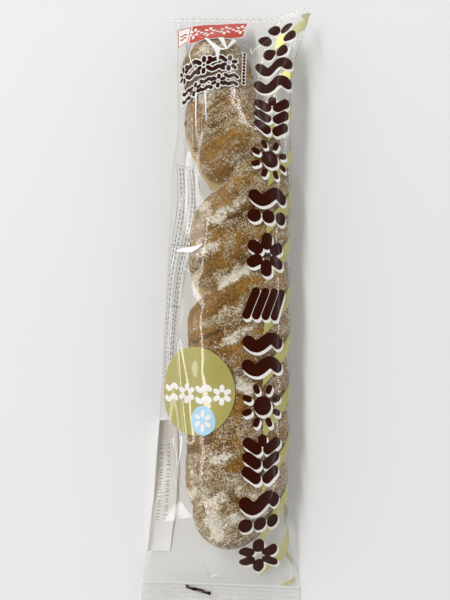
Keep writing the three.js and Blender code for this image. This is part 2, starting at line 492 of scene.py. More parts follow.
def keepLengths(p, du, dv):
    diagonal = math.hypot(du, dv)
    for i in (0, 1):
        pull(*matched(p, i, 0, 1, 0, 2, 1), du, 1.0)
        pull(*matched(p, 0, i, 0, 1, 1, 2), dv, 1.0)
        for j in (0, 1):
            pull(*matched(p, i, j, 1, 1), diagonal, 0.5)
            pull(*matched(p, i + 1, j, -1, 1), diagonal, 0.5)
    pull(p[-1], p[0], du, 1.0)
    pull(p[-1, :-1], p[0, 1:], diagonal, 0.25)
    pull(p[-1, 1:], p[0, :-1], diagonal, 0.25)
    for k in range(4):  # film resists a sharp bend
        pull(*matched(p, k, 0, 2, 0, 4, 1), 2 * du * film["bend"], film["stiffness"], True)
        pull(*matched(p, 0, k, 0, 2, 1, 4), 2 * dv * film["bend"], film["stiffness"], True)


def spannedCrust():
    # the crust as film feels it: every point lifted to its highest neighbour, then evened out
    radius = crustRadius
    for shift in 2 * ((1, 0), (-1, 0), (0, 1), (0, -1)):
        radius = np.maximum(radius, np.roll(radius, shift, (0, 1)))
    nearEnds = smooth((np.abs(reachAlong(stationY)) - film["endStart"]) / film["endRun"])
    for turn in range(film["endRounds"]):
        share = 1 if turn < film["spanRounds"] else nearEnds  # at the ends the points lie closer
        for axis in (0, 1):
            even = (np.roll(radius, 1, axis) + 2 * radius + np.roll(radius, -1, axis)) / 4
            radius = mix(radius, even, share)
    radius[:, :3], radius[:, -3:] = crustRadius[:, :3], crustRadius[:, -3:]
    return radius + film["room"] * (1 + nearEnds)


def pushOut(p):
    # film stays outside the crust, above the ground and within its sides; returns where it touches
    least, most = (np.interp(p[..., 1], *zip(*film[side])) for side in ("leftSide", "rightSide"))
    p[..., 0] = mix(p[..., 0], np.clip(p[..., 0], least, most), 0.5)
    reach = reachAlong(p[..., 1])
    station = (np.arcsin(np.clip(reach, -1, 1)) / pi + 0.5) * (doughnut["along"] + 1) - 1
    station = np.clip(station, 0, doughnut["along"] - 1.001)
    dx, dz = p[..., 0] - axisX(p[..., 1]), p[..., 2] - axisZ(p[..., 1])
    turn = (np.arctan2(dz, dx) / (2 * pi) % 1) * doughnut["around"]
    i, j = turn.astype(int) % doughnut["around"], station.astype(int)
    s, t, after = turn % 1, station % 1, (i + 1) % doughnut["around"]
    here, further = (mix(spanned[i, k], spanned[after, k], s) for k in (j, j + 1))
    wanted = mix(here, further, t)
    have = np.hypot(dx, dz) + 1e-9
    inside = (np.abs(reach) < 1) & (have < wanted)
    grow = np.where(inside, wanted / have, 1.0)
    p[..., 0] += dx * (grow - 1)
    p[..., 2] = np.maximum(p[..., 2] + dz * (grow - 1), film["floor"])
    return inside | (p[..., 2] < film["floor"] + 0.01)


def relax(p, steps, puff, weight, shake):
    around, along = p.shape[:2]
    du, dv = 2 * film["flat"] / around, filmLength / (along - 1)
    across, side = foldedFlat(around)
    ends = []
    for top in (False, True):
        x, y, z = sealLine(across, top)
        ends.append(np.stack([x, y, z + 0.1 * side], -1))
    left, right = (np.exp(-((across + s * halfFlat) / film["crease"]) ** 2)[:, None] for s in (1, -1))
    towardsEnds = smooth((np.abs(p[..., 1]) - film["spreadStart"]) / film["spreadRun"])
    outward = film["spread"][1] * right * towardsEnds - film["spread"][0] * left
    half = around // 2
    speed = np.zeros_like(p)
    for step in range(steps):
        speed = film["drag"] * speed + outwardOf(p) * puff
        speed[..., 0] += outward
        speed[..., 2] -= weight
        if step < steps / 2:
            speed += rng.normal(0, shake, p.shape)
        before = p.copy()
        p += speed
        for _ in range(film["rounds"]):
            keepLengths(p, du, dv)
            touching = pushOut(p)
            p[:, 0], p[:, -1] = ends
        upper, lower = p[1:half, :, 2], p[:half:-1, :, 2]
        touch = np.minimum(upper - lower - film["apart"], 0) * 0.5
        upper -= touch
        lower += touch
        speed = (p - before) * np.where(touching, film["grip"], 1.0)[..., None]
        speed *= np.minimum(1, film["fastest"] / (np.linalg.norm(speed, axis=-1, keepdims=True) + 1e-9))
    return p


def curveWeights(t):
    # the four weights of a smooth curve through a row of points
    return ((1 - t) ** 3 / 6, (3 * t ** 3 - 6 * t ** 2 + 4) / 6,
            (-3 * t ** 3 + 3 * t ** 2 + 3 * t + 1) / 6, t ** 3 / 6)


def sampleFilm(p, u, v):
    # the smooth surface of a ring grid, at u (goes round) and v from 0 to 1
    around, along = p.shape[:2]
    fu, fv = (u % 1.0) * around, np.clip(v, 0, 1) * (along - 1)
    iu = np.floor(fu).astype(int)
    iv = np.minimum(np.floor(fv).astype(int), along - 2)
    total = 0
    for a, wu in zip((-1, 0, 1, 2), curveWeights(fu - iu)):
        for b, wv in zip((-1, 0, 1, 2), curveWeights(fv - iv)):
            total = total + (wu * wv)[..., None] * p[(iu + a) % around, np.clip(iv + b, 0, along - 1)]
    return total


def resample(p, around, along):
    u, v = np.meshgrid(np.arange(around) / around, np.linspace(0, 1, along), indexing="ij")
    return sampleFilm(p, u, v)


def creased(p):
    # raises a line along each crease of the settled film
    across, side = foldedFlat(p.shape[0])
    y = filmStart + np.linspace(0, 1, p.shape[1]) * filmLength
    flat = np.stack(np.broadcast_arrays(across[:, None], y[None, :]), -1)
    rise = 0
    for x0, y0, x1, y1, height, half in film["creases"]:
        start, way = np.array([x0, y0]), np.array([x1 - x0, y1 - y0])
        t = np.clip((flat - start) @ way / (way @ way), 0, 1)
        away = np.linalg.norm(flat - start - t[..., None] * way, axis=-1)
        rise = rise + height * np.exp(-(away / half) ** 2) * (side > 0)[:, None]
    return p + outwardOf(p) * rise[..., None]


def calmed(p):
    # evens the film out along the pack, most of all in its loose wing
    across, side = foldedFlat(p.shape[0])
    (wingX, wingRun), (foldX, foldRun) = film["wing"], film["wingFold"]
    topY, topRun, topX = film["topEnd"]
    wing = smooth((wingX - across) / wingRun)[:, None]
    topEnd = smooth((p[:, 1:-1, 1] - topY) / topRun) * (across < topX)[:, None]
    share = mix(film["calm"], film["wingCalm"], np.maximum(wing, topEnd))[..., None]
    inWing = (film["wingAcross"] * wing * smooth((across - foldX) / foldRun)[:, None])[1:-1, :, None]
    ends = p[:, [0, -1]].copy()
    for _ in range(film["calmRounds"]):
        p[:, 1:-1] += share * ((p[:, :-2] + p[:, 2:]) / 2 - p[:, 1:-1])
        p[1:-1] += inWing * ((p[:-2] + p[2:]) / 2 - p[1:-1])
        pushOut(p)
        p[:, [0, -1]] = ends
    return p


def settleFilm():
    # on a coarse grid, then on a finer one
    first, second, last = film["stages"]
    p = relax(relax(blownTube(film["around"] // 2, film["along"] // 2), *first), *second)
    p = calmed(relax(resample(p, film["around"], film["along"]), *last))
    return creased(resample(p, 2 * film["around"], 2 * film["along"]))


spanned = spannedCrust()
filmGrid = settleFilm()
print("film settled")


def onFilm(flat, lift=0.0):
    # a place on the pack from a place on its flat tube: x across from the middle of the front (past
    # the right fold it goes on over the back), y along from the middle; lift is off the film
    u = (flat[..., 0] + halfFlat) / (2 * film["flat"])
    v = (flat[..., 1] - filmStart) / filmLength
    du, dv = 0.25 / film["flat"], 0.5 / filmLength
    normal = np.cross(sampleFilm(filmGrid, u + du, v) - sampleFilm(filmGrid, u - du, v),
                      sampleFilm(filmGrid, u, v + dv) - sampleFilm(filmGrid, u, v - dv))
    return sampleFilm(filmGrid, u, v) + unit(normal) * lift


filmLook = {
    "clear": (0.988, 0.985, 0.977, 1), "veil": (0.86, 0.86, 0.84, 1), "veilRough": 0.5,
    "gloss": (0.028, 0.8), "steep": 4.0,  # share of gloss from straight on to edge on, its steepness
    "rough": 0.07, "crackle": 0.012, "crackleSize": 8.0,
    "film": 0.006, "seal": 0.05,  # how milky
}


def crackled(tree, strength):
    return addNode(tree, "Group", {"Strength": strength, "Size": filmLook["crackleSize"]},
                   node_tree=crinkle).outputs["Normal"]


def makeFilmMaterial(name, milk):
    material = bpy.data.materials.new(name)
    material.use_nodes = True
    tree = material.node_tree
    tree.nodes.remove(tree.nodes["Principled BSDF"])
    normal = crackled(tree, filmLook["crackle"])
    clear = addNode(tree, "BsdfTransparent", {"Color": filmLook["clear"]})
    veil = addNode(tree, "BsdfPrincipled", {"Base Color": filmLook["veil"],
                                            "Roughness": filmLook["veilRough"]})
    gloss = addNode(tree, "BsdfGlossy", {"Roughness": filmLook["rough"], "Normal": normal})
    # milky film, plus the seals' mask: milkiness with painted highlight lines
    hazeAndSheen = addMath(tree, "ADD", addMask(tree, "hazeAndSheen"), milk)
    hazy = addNode(tree, "MixShader", {0: hazeAndSheen, 1: clear, 2: veil})
    facing = addNode(tree, "LayerWeight", {"Normal": normal})
    steep = addMath(tree, "POWER", facing.outputs["Facing"], filmLook["steep"])
    share = addRange(tree, steep, (0, 1), filmLook["gloss"])
    whole = addNode(tree, "MixShader", {0: share, 1: hazy, 2: gloss})
    setInputs(tree, tree.nodes["Material Output"], {"Surface": whole})
    return material


crustLook = {
    "brown": ((0.37, (0.065, 0.025, 0.004)), (0.62, (0.36, 0.185, 0.028))),  # place on a ramp, colour
    # groove: colour of the painted shade in the bottoms of the grooves
    "groove": (0.06, 0.025, 0.008, 1), "pale": (0.52, 0.38, 0.17, 1),
    "underSugarShade": (0.088, 0.047, 0.019, 1),  # painted shade: the crust darkened between the specks of sugar
    "specks": (0.66, 0.545, 0.35, 1), "heaps": (0.81, 0.77, 0.69, 1),
    "speckSizes": ((0.54, 0.6), (0.31, 0.85)), "speckShare": 0.69,  # each: size, share of the cover
    "toneNoise": (90.0, 750.0, 0.62),  # scales of broad and close noise, share of the close one
    # each: from one thickness of the sugar to another, and what grows between the two
    "shadeFrom": ((0.08, 0.4), (0, 0.75)), "heapsFrom": ((0.45, 1.05), (-4.1, -1.9)),
    "heapNoise": 1250.0, "heapEdge": 6.0,  # scale, and how sharp the heaps' edges are
    "bump": (0.3, 0.7),  # of the specks: height and strength
    "shine": 0.15, "rough": (0.38, 0.8),  # bare and sugared
    "grain": ((0.35, (0.5, 0.4, 0.26)), (0.65, (0.9, 0.855, 0.74))), "grainRough": 0.22,
    "grainNoise": 700.0,
}


def makeCrustMaterial():
    material, tree, shader = newMaterial("friedCrust", {"Specular IOR Level": crustLook["shine"]})
    place = ownPlace(tree)
    broad, close, share = crustLook["toneNoise"]
    tone = addNode(tree, "Mix", {0: share, 2: addNoise(tree, place, broad),
                                 3: addNoise(tree, place, close, 4.0, 0.7)})
    brown = addRamp(tree, tone, *crustLook["brown"])
    # painted shade: the grooves' bottoms darkened by the crease mask
    shadedGrooves = addMix(tree, addMask(tree, "crease"), brown, crustLook["groove"])
    cream = addMix(tree, addMask(tree, "pale"), shadedGrooves, crustLook["pale"])
    amount = addMask(tree, "sugar")
    # painted shade: crust darkened where the sugar lies, seen between its specks
    shadedUnderSugar = addMix(tree, addRange(tree, amount, *crustLook["shadeFrom"]), cream, crustLook["underSugarShade"])
    specks = []
    for size, share in crustLook["speckSizes"]:
        part = addMath(tree, "MULTIPLY", amount, share)
        specks.append(addNode(tree, "Group", {"Size": size, "Cover": part}, node_tree=speckle))
    both = addMath(tree, "MAXIMUM", *(layer.outputs["Mask"] for layer in specks))
    seen = addMath(tree, "MULTIPLY", both, crustLook["speckShare"])
    dusty = addMix(tree, seen, shadedUnderSugar, crustLook["specks"])
    thick = addRange(tree, amount, *crustLook["heapsFrom"])
    lumps = addNoise(tree, place, crustLook["heapNoise"])
    heaped = addNode(tree, "Math", {0: lumps, 1: crustLook["heapEdge"], 2: thick},
                     operation="MULTIPLY_ADD", use_clamp=True)
    white = addMix(tree, heaped, dusty, crustLook["heaps"])
    rough = addRange(tree, amount, (0, 1), crustLook["rough"])
    high, strength = crustLook["bump"]
    bump = addNode(tree, "Bump", {"Height": specks[0].outputs["Height"], "Distance": high * mm,
                                  "Strength": strength})
    setInputs(tree, shader, {"Base Color": white, "Roughness": rough, "Normal": bump})
    return material


def makeSugarMaterial():
    material, tree, shader = newMaterial("sugarGrains", {"Roughness": crustLook["grainRough"]})
    tone = addNoise(tree, ownPlace(tree), crustLook["grainNoise"])
    setInputs(tree, shader, {"Base Color": addRamp(tree, tone, *crustLook["grain"])})
    return material


inkLook = {"noise": 60.0, "shades": (0.9, 1.1), "crackle": 0.03, "specular": 0.05, "shineRough": 0.06}


def makeInk(name, colour, roughness=0.25, clear=0.0, shine=0.06):
    # print seen through the film's gloss, a little uneven
    material, tree, shader = newMaterial(name, {
        "Roughness": roughness, "Specular IOR Level": inkLook["specular"],
        "Coat Weight": shine, "Coat Roughness": inkLook["shineRough"]})
    uneven = addNoise(tree, ownPlace(tree), inkLook["noise"], 3.0)
    shade = addRange(tree, uneven, (0, 1), inkLook["shades"])
    tint = addNode(tree, "VectorMath", {0: colour, "Scale": shade}, operation="SCALE")
    setInputs(tree, shader, {"Base Color": tint, "Normal": crackled(tree, inkLook["crackle"])})
    if clear:
        through = addNode(tree, "BsdfTransparent")
        whole = addNode(tree, "MixShader", {0: clear, 1: shader, 2: through})
        setInputs(tree, tree.nodes["Material Output"], {"Surface": whole})
    return material


# each: its slot, its colour, then roughness, share of clear film and shine where they differ
inks = {
    "dark": ("dark_ink", (0.033, 0.005, 0.002)),
    "pale": ("pale_ink", (0.8, 0.77, 0.73), 0.35),
    "olive": ("olive_ink", (0.53, 0.49, 0.17), 0.3, 0.25),
    # bright yellow of the painted highlight on the stripes
    "paintedShine": ("olive_ink", (0.95, 0.96, 0.36), 0.3, 0.12),
    "gold": ("olive_ink", (0.385, 0.34, 0.1), 0.4, 0, 0.9),
    "red": ("red_ink", (0.5, 0.06, 0.038)),
    "blue": ("blue_ink", (0.42, 0.62, 0.76), 0.3),
    "grey": ("dark_ink", (0.2, 0.19, 0.18), 0.4, 0.3),
    "milk": ("pale_ink", (0.96, 0.95, 0.93), 0.4, 0.02),
    # white of the painted highlight strips on the film's folds
    "glint": ("film", (0.99, 0.99, 0.98), 0.3, 0.16),
}
filmMaterial = makeFilmMaterial("clearFilm", filmLook["film"])
sealMaterial = makeFilmMaterial("pressedFilm", filmLook["seal"])
crustMaterial = makeCrustMaterial()
sugarMaterial = makeSugarMaterial()
inkMaterials = {name: makeInk(name + "Ink", *look) for name, (slotName, *look) in inks.items()}
print("finishes made")


def buildDoughnut():
    around, along = doughnut["around"], doughnut["along"]
    count = around * along
    ends = doughnut["middle"] + np.array([-0.5, 0.5]) * doughnut["length"]
    points = np.concatenate([crust.reshape(-1, 3), np.stack([axisX(ends), ends, axisZ(ends)], -1)])
    faces = gridFaces(around, along, closed=True).tolist()
    for i in range(around):
        a, b = i * along, (i + 1) % around * along
        faces += [[a, count, b], [b + along - 1, count + 1, a + along - 1]]
    piece = makePiece("doughnut", points, faces, crustMaterial)
    width, grooveWidth, under, ragged = doughnut["pale"]
    height = crust[..., 2] - axisZ(crust[..., 1]) + under
    for y, rise, half in doughnut["paleRises"]:
        height = height - rise * np.exp(-((crust[..., 1] - y) / half) ** 2) * (np.cos(angle) < 0)
    edge = ragged * cloudAt(crust, 6, 2, 12)
    band = smooth(1.3 - np.abs(height) / (width + grooveWidth * grooveNear) + edge)
    lying = np.clip(cover * (1 - doughnut["paleBare"] * band), 0, 1)
    writeMask(piece, "sugar", np.append(lying, [0.6, 0.6]))  # the last two are the ends' points
    writeMask(piece, "pale", np.append(band, [0, 0]))
    # painted shade: darkest in a groove's bottom, and none on the underside
    dark, start, run = doughnut["grooveShading"]
    shadeInGroove = dark * smooth((grooveNear - start) / run) * smooth(np.sin(angle) + 0.6)
    writeMask(piece, "crease", np.append(shadeInGroove, [0, 0]))
    return band


def buildFilm():
    around, along = 2 * film["around"], 2 * film["along"] - 1
    points = resample(filmGrid, around, along)
    faces = gridFaces(around, along, closed=True, flip=True)
    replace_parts(makePiece("film", points, faces, filmMaterial), "bag")


seals = {"around": 97, "rows": 43,
         "rib": 1.75, "ribHeight": 0.22, "thickness": 0.16, "tooth": 3.1, "toothDepth": 1.3,
         # how white: all over the milky pressed film, and a painted highlight along the ribs and at the
         # inner edge; of the bottom and the top seal
         "hazeAndSheen": ((0.08, 0.16, 0.45), (0.05, 0.05, 0.05))}


def sealAt(across, depth, top, lift=0.0):
    # a place on a seal: across from its middle, depth out from the film
    x, y, z = sealLine(across, top)
    rib = seals["ribHeight"] * np.sin(2 * pi * depth / seals["rib"]) * smooth(depth / seals["rib"])
    return np.stack([x, y + (depth if top else -depth), z + rib + lift], -1)


def buildSeal(name, top):
    across, rows = np.meshgrid(np.linspace(-halfFlat, halfFlat, seals["around"]),
                               np.linspace(0, 1, seals["rows"]), indexing="ij")
    tooth = np.abs((across / seals["tooth"]) % 1 - 0.5) * 2 * seals["toothDepth"]
    depth = rows * (film["sealTop" if top else "sealDepth"] - tooth)
    points, faces = [], []
    for side in (1, -1):
        faces += (gridFaces(*across.shape, flip=(side > 0) != top) + len(points) * across.size).tolist()
        points.append(sealAt(across, depth, top, side * seals["thickness"] / 2).reshape(-1, 3))
    ids = np.arange(across.size).reshape(across.shape)
    rim = np.concatenate([ids[:, 0], ids[-1, 1:], ids[::-1, -1][1:], ids[0, ::-1][1:]])
    for a, b in zip(rim[:-1], rim[1:]):
        edge = [a, b, b + across.size, a + across.size]
        faces.append(edge[::-1] if top else edge)
    piece = makePiece(name, np.concatenate(points), faces, sealMaterial)
    # milky all over, with painted highlight lines along the ribs and at the inner edge
    plain, ribSheen, edgeSheen = seals["hazeAndSheen"][top]
    hazeAndSheen = plain + ribSheen * smooth(0.5 + 0.8 * np.sin(2 * pi * depth / seals["rib"]))
    hazeAndSheen = hazeAndSheen + edgeSheen * np.exp(-((depth - 0.4) / 0.5) ** 2)
    writeMask(piece, "hazeAndSheen", np.stack([hazeAndSheen, hazeAndSheen]))


paleBand = buildDoughnut()
buildFilm()
buildSeal("sealTop", True)
buildSeal("sealBottom", False)
print("doughnut, film and seals built")


def grainShapes(kind):
    if kind == "cube":
        corners = np.array([[x, y, z] for x in (-1, 1) for y in (-1, 1) for z in (-1, 1)]) * 0.5
        faces = [[0, 1, 3, 2], [4, 6, 7, 5], [0, 4, 5, 1], [2, 3, 7, 6], [0, 2, 6, 4], [1, 5, 7, 3]]
    else:
        corners = np.array([[1, 0, 0], [-1, 0, 0], [0, 1, 0], [0, -1, 0], [0, 0, 1], [0, 0, -1]]) * 0.62
        faces = [[0, 2, 4], [2, 1, 4], [1, 3, 4], [3, 0, 4], [2, 0, 5], [1, 2, 5], [3, 1, 5], [0, 3, 5]]
    return corners, np.array(faces)


def turnedAtRandom(count):
    # random rotations, from random unit quaternions
    q = rng.normal(size=(count, 4))
    w, x, y, z = (q / np.linalg.norm(q, axis=1, keepdims=True)).T
    return np.stack([
        np.stack([1 - 2 * (y * y + z * z), 2 * (x * y - z * w), 2 * (x * z + y * w)], -1),
        np.stack([2 * (x * y + z * w), 1 - 2 * (x * x + z * z), 2 * (y * z - x * w)], -1),
        np.stack([2 * (x * z - y * w), 2 * (y * z + x * w), 1 - 2 * (x * x + y * y)], -1)], -2)


def scatter(name, kind, places, sizes):
    corners, faces = grainShapes(kind)
    sides = sizes[:, None, None] * rng.uniform(*grains["uneven"], (len(places), 1, 3))
    shapes = corners[None] * sides
    points = places[:, None, :] + np.einsum("nij,nkj->nki", turnedAtRandom(len(places)), shapes)
    allFaces = faces[None] + len(corners) * np.arange(len(places))[:, None, None]
    piece = makePiece(name, points, allFaces.reshape(-1, faces.shape[1]), sugarMaterial)
    piece.data.polygons.foreach_set("use_smooth", np.zeros(len(piece.data.polygons), bool))


def placesOnCrust(count, wanted):
    # random places on the crust, more of them where wanted is larger
    across = np.linalg.norm(np.roll(crust, -1, 0) - crust, axis=-1)
    along = np.linalg.norm(np.gradient(crust, axis=1), axis=-1)
    chance = (wanted * across * along)[:, 1:-1].ravel()
    i, j = np.unravel_index(rng.choice(chance.size, count, p=chance / chance.sum()),
                            (crust.shape[0], crust.shape[1] - 2))
    j = j + 1
    s, t = rng.random((2, count, 1))
    nextI, nextJ = (i + 1) % crust.shape[0], np.minimum(j + 1, crust.shape[1] - 1)
    a = mix(crust[i, j], crust[nextI, j], s)
    b = mix(crust[i, nextJ], crust[nextI, nextJ], s)
    normal = np.cross(crust[nextI, j] - crust[i, j], crust[i, nextJ] - crust[i, j])
    return mix(a, b, t), normal / np.linalg.norm(normal, axis=1, keepdims=True)


grains = {
    # shape, count, size, how many lie where the sugar is thin, and how they gather where it is thick
    "kinds": {"sugarCoarse": ("cube", 12000, (0.28, 0.52), 0.015, 1.7),
              "sugarFine": ("chip", 24000, (0.18, 0.32), 0.05, 1)},
    "paleBare": 0.6,  # share of them that the pale flank lacks
    "height": 0.3,  # of a grain's middle over the crust, as a share of its size
    "uneven": (0.75, 1.25),  # its three sides, as shares of its size
}


def buildSugar():
    lying = np.clip(cover, 0, 1) * (1 - grains["paleBare"] * paleBand)
    for name, (kind, count, size, least, gather) in grains["kinds"].items():
        places, outward = placesOnCrust(count, least + lying ** gather)
        sizes = rng.uniform(*size, count)
        scatter(name, kind, places + outward * sizes[:, None] * grains["height"], sizes)


buildSugar()
print("sugar scattered")


printStep = (0.8, 0.9)  # how fine the print's grids are: along a stroke and across it


def strokeGrid(path, width):
    # a band along a path on the flat film, with round ends, as a grid of flat places
    path = np.asarray(path, float)
    reach = np.concatenate([[0], np.cumsum(np.hypot(*np.diff(path, axis=0).T))])
    half, total = width / 2, reach[-1]
    closed = np.hypot(*(path[0] - path[-1])) < 0.01
    s = np.linspace(0, total, max(4, int(total / printStep[0])))
    if not closed:
        cap = half * np.sin(np.linspace(0.15, 1.5, 6))
        s = np.concatenate([-cap[::-1], s, total + cap])

    def at(r):
        return np.stack([np.interp(r, reach, path[:, k]) for k in (0, 1)], -1)

    inside = np.clip(s, 0, total)
    way = at(np.minimum(inside + 0.1, total)) - at(np.maximum(inside - 0.1, 0))
    if closed:
        way[0] = way[-1] = at(0.1) - at(total - 0.1)
    way /= np.hypot(*way.T)[:, None]
    past = (s - inside)[:, None]
    side = np.stack([-way[:, 1], way[:, 0]], -1) * np.sqrt(half ** 2 - past ** 2)
    offsets = np.linspace(-1, 1, max(3, int(width / printStep[1]) + 1))
    return (at(inside) + way * past)[:, None] + side[:, None] * offsets[None, :, None]


def discGrid(x, y, radius):
    turn, r = np.meshgrid(np.linspace(0, 2 * pi, max(17, int(7 * radius))),
                          np.linspace(0, radius, max(3, int(radius / printStep[0]))), indexing="ij")
    return np.stack([x + r * np.cos(turn), y + r * np.sin(turn)], -1)


def panelGrid(x0, x1, y0, y1, slant=0.0):
    # a panel whose height grows by slant for each unit across
    columns, rows = (max(3, int(size / step)) for size, step in zip((x1 - x0, y1 - y0), printStep))
    x, y = np.meshgrid(np.linspace(x0, x1, columns), np.linspace(y0, y1, rows), indexing="ij")
    return np.stack([x, y + slant * (x - x0)], -1)


def wave(x, y, length, height):
    t = np.linspace(-0.5, 0.5, 13)
    return np.stack([x + t * length, y + height * np.sin(2 * pi * t)], -1)


def line(x0, y0, x1, y1):
    return np.array([(x0, y0), (x1, y1)], float)


def layPrint(name, grids, ink, layer):
    points, faces, start = [], [], 0
    for grid in grids:
        flip = np.cross(grid[1, 0] - grid[0, 0], grid[1, 1] - grid[1, 0]) > 0
        faces += (gridFaces(*grid.shape[:2], flip=not flip) + start).tolist()
        start += grid.shape[0] * grid.shape[1]
        points.append(onFilm(grid, lifts[layer]).reshape(-1, 3))
    makePiece(name, np.concatenate(points), faces, inkMaterials[ink], weld=0.004)


# painted glints: white strips laid on the film, a painted highlight where lamps would shine on its
# sharpest folds; x, y, width from point to point of each
glintPaths = [
    [(-15.8, 122.6, 1.0), (-12.5, 118, 1.6), (-9.6, 115.2, 2.8), (-9, 112.4, 1.5), (-8.5, 108, 0.3)],
    [(-9.4, 115.4, 1.6), (-7.4, 115.4, 0.9), (-5.4, 115.9, 0.6)],
    [(-9, 122.4, 2.8), (-7.2, 118.8, 1.6), (-5.6, 115.8, 0.7)],
    [(-2.2, 123.4, 2.3), (-4, 119.3, 1.3), (-5.4, 115.8, 0.6)],
    [(-21.3, 122, 0.3), (-22.6, 114.5, 0.6), (-20.5, 107, 0.3)],
    [(-18.2, 93.5, 0.9), (-17, 81.6, 0.6), (-16.5, 71, 0.1)],
    [(-12.9, 93, 0.8), (-11.9, 84, 0.6), (-11, 77, 0.1)],
    [(-27, 17.4, 0.1), (-22.3, 17.4, 2.0), (-17, 17.2, 2.7), (-13, 18.2, 1.6), (-10, 19.6, 0.3)],
    [(-24.8, 44, 0.2), (-25.3, 40, 0.6), (-26, 36, 0.2)],
    [(-28.5, 15, 0.3), (-29.4, 12, 0.7), (-30.8, 8, 0.2)],
    [(-20.6, 8.8, 0.4), (-15.1, 5.1, 0.2)],
    [(-19.7, -67.6, 0.9), (-20.1, -74.1, 0.7), (-21.3, -82.4, 0.1)],
    [(-24.9, -68.8, 0.8), (-24, -73, 0.1)],
    [(-4.6, -137.4, 0.3), (-3, -135.6, 1.2), (-0.6, -136.4, 0.2)],
]


def ribbonGrid(points):
    # a band along a path of x, y and width
    points = np.array(points, float)
    reach = np.concatenate([[0], np.cumsum(np.hypot(*np.diff(points[:, :2], axis=0).T))])
    s = np.linspace(0, reach[-1], max(5, int(reach[-1] / 0.5)))
    x, y, width = (np.interp(s, reach, points[:, k]) for k in range(3))
    spine = np.stack([x, y], -1)
    way = np.gradient(spine, axis=0)
    way /= np.hypot(*way.T)[:, None]
    side = np.stack([-way[:, 1], way[:, 0]], -1) * width[:, None] / 2
    return spine[:, None] + side[:, None] * np.linspace(-1, 1, 4)[None, :, None]


column = {"x": 19.4, "drift": 0.01, "top": 129, "pitch": 22.7, "size": 9.9, "stroke": 5.6,
          "firstTall": 1.35}  # the first motif is stretched along the pack
halo = {"grow": 0.5, "shift": (0.7, -1.1)}
# how far each layer of print lies off the film
lifts = {"under": 0.04, "paintedShine": 0.08, "pale": 0.12, "dark": 0.2, "top": 0.27,
         "backPanel": -0.04, "backRules": -0.12}


def spots(x, y, places, width):
    return [(line(x + a - 0.1, y + b, x + a + 0.1, y + b), width) for a, b in places]


def waveMotif(x, y, r, w):
    return [(wave(x, y + k * 0.54 * r, 2 * r - w, 0.2 * r), w) for k in (-1, 1)]


def rayMotif(x, y, r, w, count, start, end, width, turn=0):
    # strokes that point out from the middle
    turns = np.radians(turn + 360 / count * np.arange(count))
    return [(line(x + start * r * np.cos(a), y + start * r * np.sin(a),
                  x + end * r * np.cos(a), y + end * r * np.sin(a)), width * w) for a in turns]


def petalMotif(x, y, r, w):
    return rayMotif(x, y, r, w, 6, 0.5, 0.76, 0.95, 30)


def sunMotif(x, y, r, w):
    return spots(x, y, [(0, 0)], 1.5 * w) + rayMotif(x, y, r, w, 8, 0.7, 0.86, 0.5, 22.5)


def wreathMotif(x, y, r, w):
    return rayMotif(x, y, r, w, 6, 0.68, 0.74, 1.16)


def wheatMotif(x, y, r, w):
    # an ear of wheat: pairs of grains and one at the tip
    pairs = [(line(x + a * 0.26 * r, y + (b - 0.2) * r, x + a * 0.66 * r, y + (b + 0.08) * r), 0.84 * w)
             for b in (-0.62, 0, 0.62) for a in (-1, 1)]
    return pairs + [(line(x, y + 0.72 * r, x, y + 0.86 * r), 0.7 * w)]


def braidMotif(x, y, r, w):
    # a row of slanting strands
    return [(line(x + (a - 0.2) * r, y - 0.55 * r, x + (a + 0.2) * r, y + 0.55 * r), 0.68 * w)
            for a in (-0.66, -0.22, 0.22, 0.66)]


def garlandMotif(x, y, r, w):
    # a wave with a row of beads below
    beads = spots(x, y, r * np.array([(-0.68, -0.5), (0, -0.5), (0.68, -0.5)]), 1.1 * w)
    return [(wave(x, y + 0.45 * r, 2 * r - w, 0.22 * r), w)] + beads


def layStrokes(name, strokes, ink, layer, grow=0.0, shift=(0, 0)):
    layPrint(name, [strokeGrid(path + shift, width + grow) for path, width in strokes], ink, layer)


def buildColumn():
    motifs = [wreathMotif, waveMotif, wheatMotif, sunMotif, garlandMotif, petalMotif,
              braidMotif, waveMotif, sunMotif, wheatMotif, garlandMotif, petalMotif]
    strokes = []
    for k, motif in enumerate(motifs):
        y = column["top"] - k * column["pitch"]
        placed = motif(column["x"] + column["drift"] * y, y, column["size"], column["stroke"])
        tall = 1 if k else column["firstTall"]
        strokes += [((path - (0, y)) * (1, tall) + (0, y), width) for path, width in placed]
    layStrokes("columnHalo", strokes, "pale", "pale", halo["grow"], halo["shift"])
    layStrokes("columnPrint", strokes, "dark", "dark")


# diagonal stripes that run over the right fold; y of the lowest is at x = middle
stripes = {"left": 19, "right": 45, "middle": 28, "first": -145, "pitch": 22.85, "count": 13,
           "height": 7.6, "slope": 1.05,
           # parts painted bright yellow, a painted highlight where a bright window would light them: left,
           # right, bottom, top, slant
           "paintedShine": [(19.4, 26.4, 124, 133.5, 0.2), (22, 29, 96.25, 103.85, 1.05)]}


def buildStripes():
    grids = []
    for k in range(stripes["count"]):
        y = stripes["first"] + k * stripes["pitch"]
        y = y - stripes["slope"] * (stripes["middle"] - stripes["left"])
        half = stripes["height"] / (2 if k else 4)  # the lowest one is cut slim
        grids.append(panelGrid(stripes["left"], stripes["right"], y - half, y + half, stripes["slope"]))
    layPrint("oliveStripes", grids, "olive", "under")
    # painted highlight: bright yellow patches on the stripes where a window's glare would fall
    layPrint("paintedShineStripes", [panelGrid(*place) for place in stripes["paintedShine"]], "paintedShine", "paintedShine")


